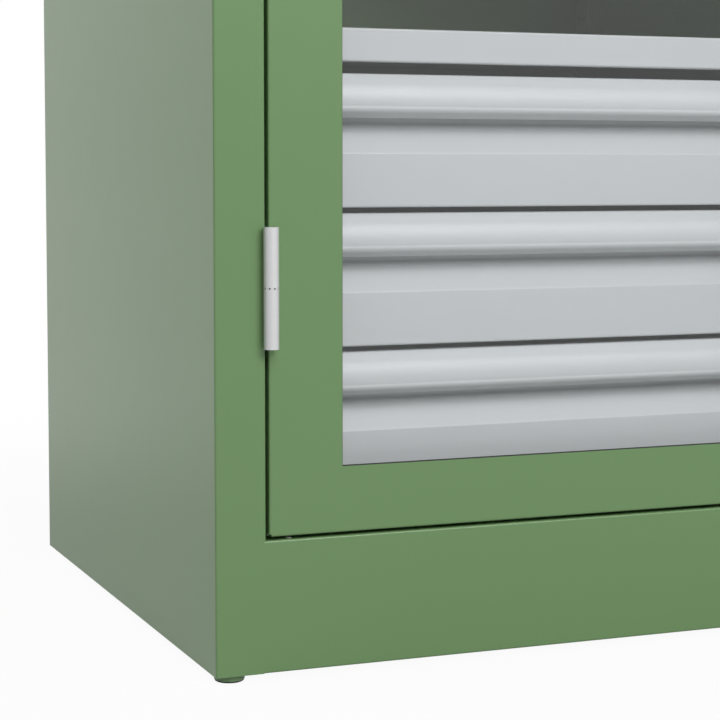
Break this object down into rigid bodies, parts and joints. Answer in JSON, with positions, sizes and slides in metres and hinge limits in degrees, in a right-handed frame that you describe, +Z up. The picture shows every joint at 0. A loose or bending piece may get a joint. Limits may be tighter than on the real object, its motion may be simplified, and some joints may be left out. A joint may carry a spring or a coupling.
{
  "type": "storage cabinet",
  "caption": "Steel floor cabinet with a hinged window door, a shelf and pull-out drawers behind it.",
  "frame": {"origin": "on the floor, below the middle of the whole outline", "axes": "+X to the right seen from the front, +Y to the rear, +Z up; the door faces -Y"},
  "size_m": [0.7, 0.678, 1.007],
  "materials": {
    "body_green": "satin powder coat",
    "light_grey": "satin powder coat",
    "galvanised": "zinc plated",
    "zinc": "satin zinc",
    "clear_pane": "clear",
    "black_rubber": "matt",
    "grey_plastic": "moulded"
  },
  "bodies": {
    "cabinet": {"back_panel": "body_green", "cabinet_rails": "galvanised", "corner_plates": "galvanised", "door_buffers": "black_rubber", "floor_panel": "body_green", "foot_pads": "body_green", "foot_studs": "galvanised", "front_uprights": "body_green", "hinge_pins": "galvanised", "left_bay_wall": "body_green", "left_side": "body_green", "lower_hinge_body_half": "zinc", "plinth": "body_green", "rear_uprights": "body_green", "right_bay_wall": "body_green", "right_side": "body_green", "shelf": "light_grey", "shelf_clips": "galvanised", "sill_glides": "grey_plastic", "top_panel": "body_green", "upper_hinge_body_half": "zinc"},
    "door": {"door_frame": "body_green", "pane_gasket": "black_rubber", "pane": "clear_pane", "upright_clamps": "galvanised", "level_clamps": "galvanised", "clamp_nuts": "galvanised", "lower_hinge_door_half": "zinc", "upper_hinge_door_half": "zinc", "lock_rose": "zinc", "lock_case": "galvanised", "rod_guides": "galvanised"},
    "handle": {"lock_handle": "zinc", "lock_spindle": "galvanised", "lock_pinion": "galvanised"},
    "key_plug": {"lock_plug": "zinc"},
    "upper_rod": {"upper_rod": "galvanised"},
    "lower_rod": {"lower_rod": "galvanised"},
    "drawer_1": {"drawer_1_front": "light_grey", "drawer_1_tray": "light_grey", "drawer_1_rails": "galvanised"},
    "middle_rails_1": {"drawer_1_middle_rails": "galvanised"},
    "drawer_2": {"drawer_2_front": "light_grey", "drawer_2_tray": "light_grey", "drawer_2_rails": "galvanised"},
    "middle_rails_2": {"drawer_2_middle_rails": "galvanised"},
    "drawer_3": {"drawer_3_front": "light_grey", "drawer_3_tray": "light_grey", "drawer_3_rails": "galvanised"},
    "middle_rails_3": {"drawer_3_middle_rails": "galvanised"}
  },
  "joints": [
    {"name": "door_swing", "type": "hinge", "parent": "cabinet", "child": "door", "pos_m": [-0.301, -0.318, 0.5425], "axis": [0, 0, -1], "range_deg": [0, 180]},
    {"name": "handle_turn", "type": "hinge", "parent": "door", "child": "handle", "pos_m": [0.278, -0.311, 0.587], "axis": [0, -1, 0], "range_deg": [0, 90]},
    {"name": "key_turn", "type": "hinge", "parent": "handle", "child": "key_plug", "pos_m": [0.278, -0.339, 0.587], "axis": [0, -1, 0], "range_deg": [0, 90]},
    {"name": "upper_rod_slide", "type": "slide", "parent": "door", "child": "upper_rod", "axis": [0, 0, 1], "range_m": [0, 0.01179]},
    {"name": "lower_rod_slide", "type": "slide", "parent": "door", "child": "lower_rod", "axis": [0, 0, -1], "range_m": [0, 0.01179]},
    {"name": "drawer_1_slide", "type": "slide", "parent": "cabinet", "child": "drawer_1", "axis": [0, -1, 0], "range_m": [0, 0.018]},
    {"name": "middle_rails_1_slide", "type": "slide", "parent": "cabinet", "child": "middle_rails_1", "axis": [0, -1, 0], "range_m": [0, 0.009]},
    {"name": "drawer_2_slide", "type": "slide", "parent": "cabinet", "child": "drawer_2", "axis": [0, -1, 0], "range_m": [0, 0.018]},
    {"name": "middle_rails_2_slide", "type": "slide", "parent": "cabinet", "child": "middle_rails_2", "axis": [0, -1, 0], "range_m": [0, 0.009]},
    {"name": "drawer_3_slide", "type": "slide", "parent": "cabinet", "child": "drawer_3", "axis": [0, -1, 0], "range_m": [0, 0.018]},
    {"name": "middle_rails_3_slide", "type": "slide", "parent": "cabinet", "child": "middle_rails_3", "axis": [0, -1, 0], "range_m": [0, 0.009]}
  ],
  "couplings": [
    {"joint": "upper_rod_slide", "follows": "handle_turn", "m_per_rad": 0.0075},
    {"joint": "lower_rod_slide", "follows": "handle_turn", "m_per_rad": 0.0075},
    {"joint": "middle_rails_1_slide", "follows": "drawer_1_slide", "ratio": 0.5},
    {"joint": "middle_rails_2_slide", "follows": "drawer_2_slide", "ratio": 0.5},
    {"joint": "middle_rails_3_slide", "follows": "drawer_3_slide", "ratio": 0.5}
  ]
}
